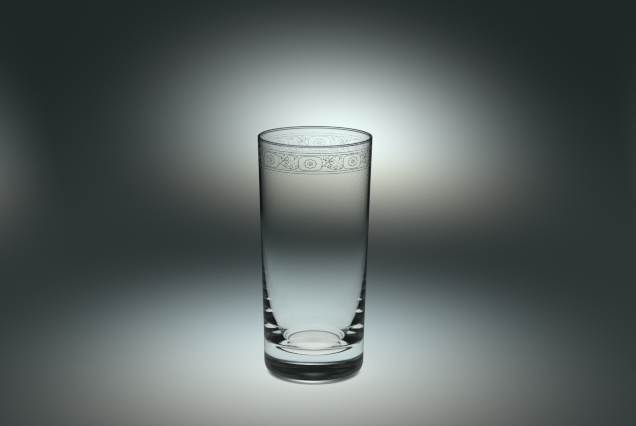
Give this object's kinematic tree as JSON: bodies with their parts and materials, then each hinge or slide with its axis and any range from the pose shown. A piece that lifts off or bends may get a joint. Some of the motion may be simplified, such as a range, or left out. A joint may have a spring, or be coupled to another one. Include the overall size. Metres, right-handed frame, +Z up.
{
  "type": "highball glass",
  "caption": "Tall, gently flared clear tumbler with a heavy solid base, rounded heel, round polished lip and an etched scroll frieze under the rim.",
  "frame": {"origin": "centre of the foot, on the surface that the glass stands on", "axes": "+Z up along the axis that the glass is turned about; +X to the right and -Y towards the viewer of the picture"},
  "size_m": [0.0656, 0.0656, 0.14],
  "materials": {
    "clear_glass": "clear, fire polished",
    "etched_glass": "fine etched lines, satin"
  },
  "bodies": {
    "root": {"tumbler_body": "clear_glass", "frieze_upper_border": "etched_glass", "frieze_field": "etched_glass", "frieze_lower_border": "etched_glass"}
  },
  "joints": []
}
